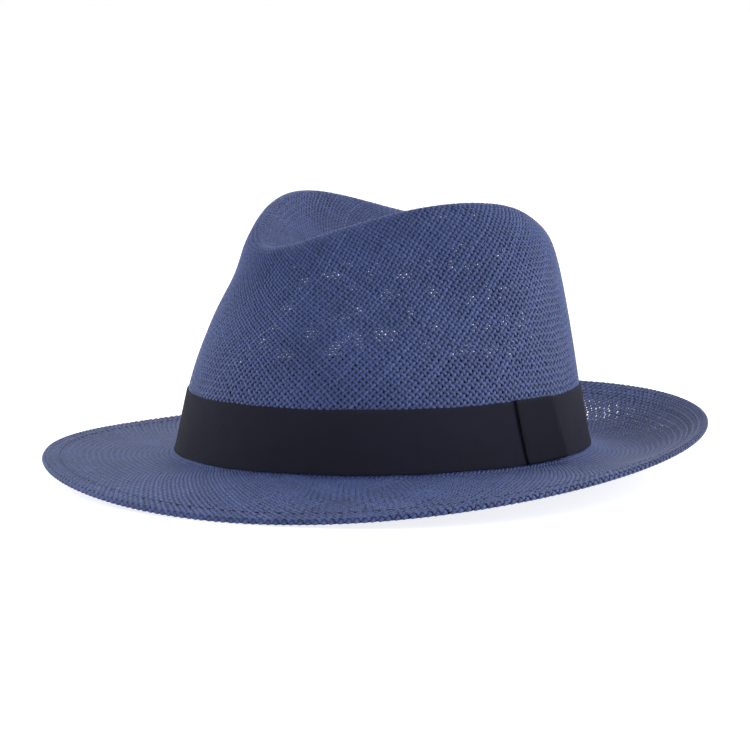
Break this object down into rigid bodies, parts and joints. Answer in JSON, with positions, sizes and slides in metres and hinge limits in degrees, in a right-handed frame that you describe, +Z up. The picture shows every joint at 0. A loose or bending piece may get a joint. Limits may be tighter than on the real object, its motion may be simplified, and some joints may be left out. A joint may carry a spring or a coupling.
{
  "type": "fedora hat",
  "caption": "Woven paper-straw fedora with a teardrop crown, front pinches, a curled medium brim, a dark cloth band with a folded keeper, and a sewn-in sweatband.",
  "frame": {"origin": "middle of the head opening, at the height where crown and brim meet", "axes": "+Z up through the crown, -Y towards the hat's front, +X towards the wearer's left, where the band's keeper is"},
  "size_m": [0.2933, 0.3259, 0.1262],
  "materials": {
    "woven_straw": "flat paper strands, plain weave, slight sheen",
    "brim_wire": "drawn plastic wire",
    "blue_thread": "twisted sewing thread",
    "band_cloth": "matte cotton band cloth",
    "dark_thread": "twisted sewing thread",
    "sweatband_cloth": "ribbed sweatband tape",
    "label_cloth": "woven satin tape",
    "label_thread": "twisted sewing thread"
  },
  "bodies": {
    "root": {"woven_body": "woven_straw", "brim_wire": "brim_wire", "hem_stitches": "blue_thread", "hat_band": "band_cloth", "band_keeper": "band_cloth", "band_seam_stitches": "dark_thread", "band_tacks": "dark_thread", "sweatband": "sweatband_cloth", "sweatband_stitches": "dark_thread", "sweatband_seam_stitches": "dark_thread", "size_label": "label_cloth", "label_stitches": "label_thread"}
  },
  "joints": []
}
